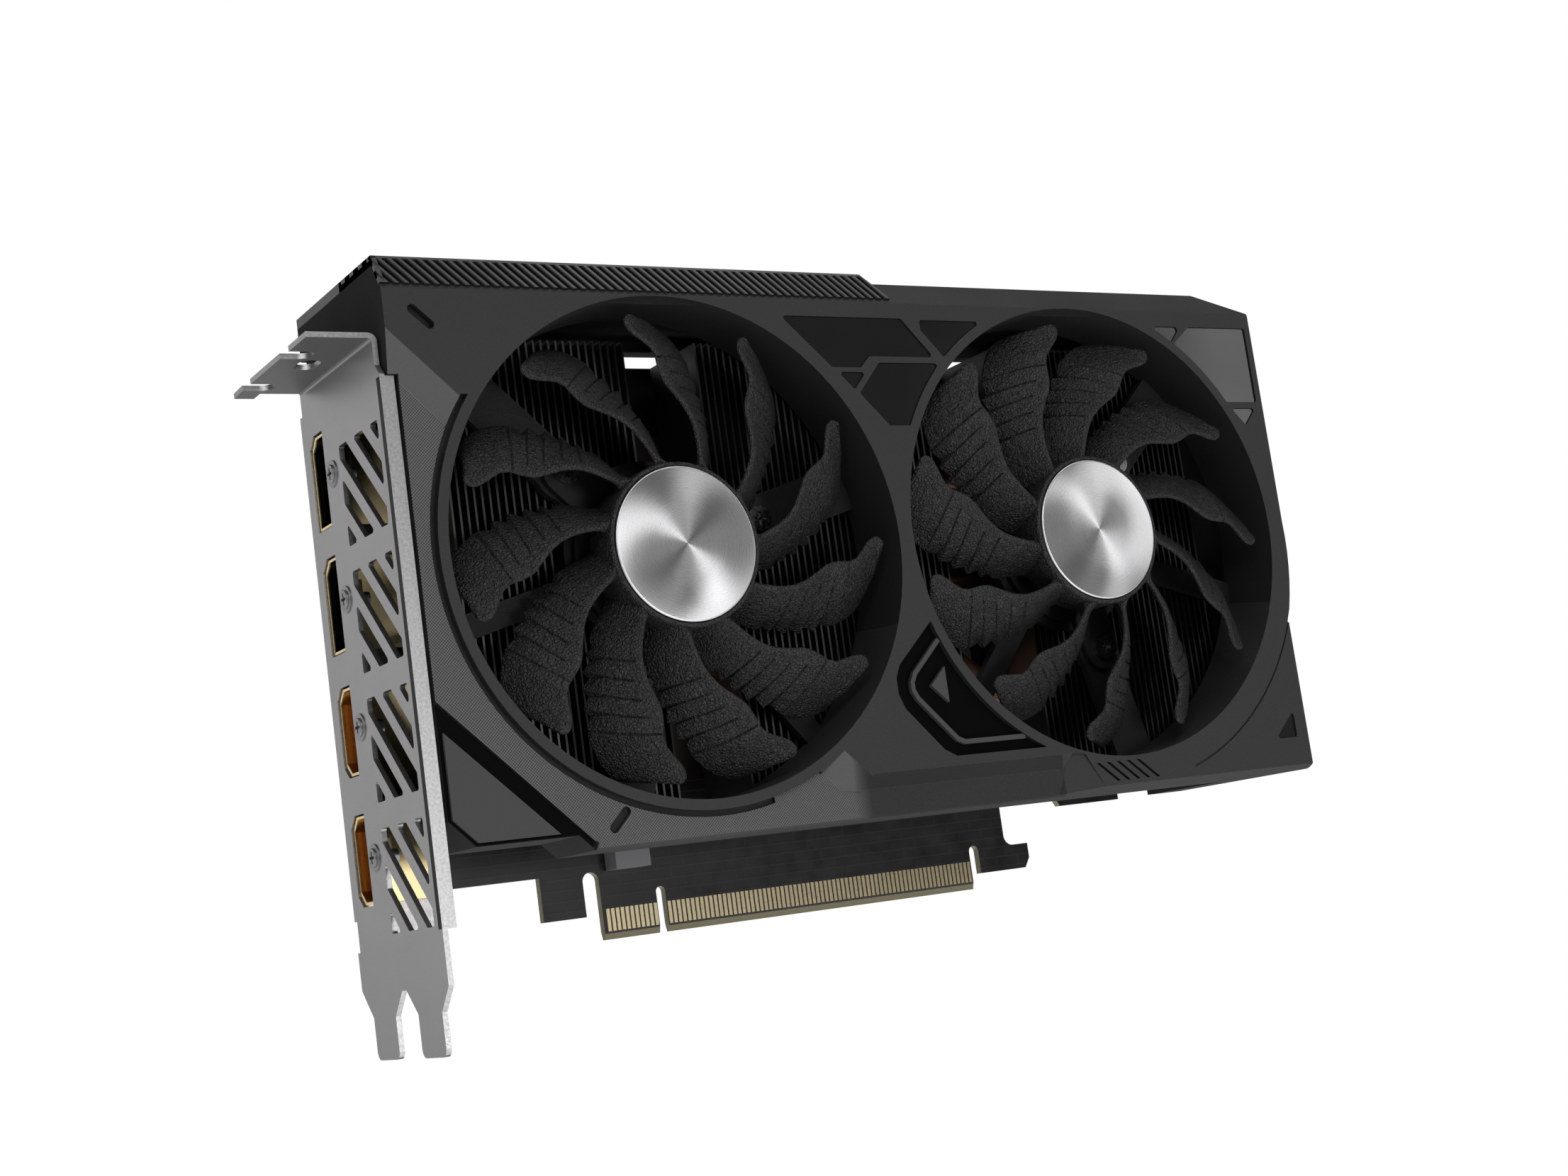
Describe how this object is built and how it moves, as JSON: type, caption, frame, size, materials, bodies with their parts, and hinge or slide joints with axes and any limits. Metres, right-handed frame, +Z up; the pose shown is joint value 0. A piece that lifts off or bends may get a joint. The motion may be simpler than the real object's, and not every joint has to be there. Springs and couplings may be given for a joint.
{
  "type": "graphics card",
  "caption": "Dual-slot plug-in graphics card with a charcoal twin-fan shroud, finned cooler, metal backplate and slotted bracket.",
  "frame": {"origin": "middle of the key notch of the edge connector, on the bottom edge of the board at half its thickness", "axes": "+X along the card away from its bracket, +Z up from the edge connector to the top of the card, fans face -Y"},
  "size_m": [0.2083, 0.0421, 0.1335],
  "materials": {
    "backplate_metal": "black powder coat",
    "black_screw": "black oxide",
    "inlay_black": "deep black",
    "bracket_steel": "satin nickel plated",
    "screw_steel": "bright plated",
    "ceramic": "ceramic with tinned ends",
    "copper": "bare copper",
    "chip_black": "moulded package",
    "accent_grey": "grey satin moulding",
    "socket_gold": "gold-plated shell",
    "black_plastic": "black moulding",
    "gold": "gold plating",
    "connector_grey": "moulded nylon",
    "fin_aluminium": "thin sheet",
    "window_plastic": "smooth dark glossy insert",
    "die": "polished silicon",
    "substrate": "laminate",
    "coil_grey": "pressed ferrite",
    "bronze": "sintered bronze",
    "spun_aluminium": "concentric spun finish",
    "blade_plastic": "black moulding with a leathery grain",
    "magnet": "bonded ferrite",
    "board": "black solder mask",
    "steel": "machined",
    "capacitor_can": "drawn can",
    "trim_plastic": "ribbed satin charcoal moulding",
    "shroud_plastic": "fine-grained matte charcoal moulding",
    "pad_grey": "soft silicone"
  },
  "bodies": {
    "card": {"backplate": "backplate_metal", "backplate_screws": "black_screw", "black_inlays": "inlay_black", "bracket": "bracket_steel", "bracket_screws": "screw_steel", "ceramic_capacitors": "ceramic", "cold_plate": "copper", "control_chips": "chip_black", "corner_panel": "accent_grey", "displayport_shells": "socket_gold", "displayport_tongues": "black_plastic", "edge_contacts": "gold", "fan_header": "connector_grey", "fan_screws": "black_screw", "fin_block_left": "fin_aluminium", "fin_block_middle": "fin_aluminium", "fin_block_right": "fin_aluminium", "gloss_windows": "window_plastic", "gpu_die": "die", "gpu_substrate": "substrate", "grey_accents": "accent_grey", "hdmi_shells": "socket_gold", "hdmi_tongues": "black_plastic", "heat_pipes": "copper", "inductors": "coil_grey", "left_bearing": "bronze", "left_coils": "copper", "left_fan_base": "black_plastic", "left_motor_board": "board", "left_stator": "steel", "memory_chips": "chip_black", "mosfets": "chip_black", "pcb": "board", "polymer_capacitors": "capacitor_can", "port_feet": "black_plastic", "power_pins": "steel", "power_socket": "black_plastic", "rear_capacitors": "ceramic", "ribbed_trim": "trim_plastic", "right_bearing": "bronze", "right_coils": "copper", "right_fan_base": "black_plastic", "right_motor_board": "board", "right_stator": "steel", "shroud": "shroud_plastic", "shroud_screws": "black_screw", "spring_plate": "steel", "spring_screws": "screw_steel", "thermal_pads": "pad_grey"},
    "left_rotor": {"left_impeller": "blade_plastic", "left_hub_cap": "spun_aluminium", "left_shaft": "steel", "left_magnet": "magnet"},
    "right_rotor": {"right_impeller": "blade_plastic", "right_hub_cap": "spun_aluminium", "right_shaft": "steel", "right_magnet": "magnet"}
  },
  "joints": [
    {"name": "left_fan_spin", "type": "hinge", "parent": "card", "child": "left_rotor", "pos_m": [-0.0062, -0.033, 0.0667], "axis": [0, -1, 0], "continuous": true},
    {"name": "right_fan_spin", "type": "hinge", "parent": "card", "child": "right_rotor", "pos_m": [0.0876, -0.033, 0.0667], "axis": [0, 1, 0], "continuous": true}
  ]
}
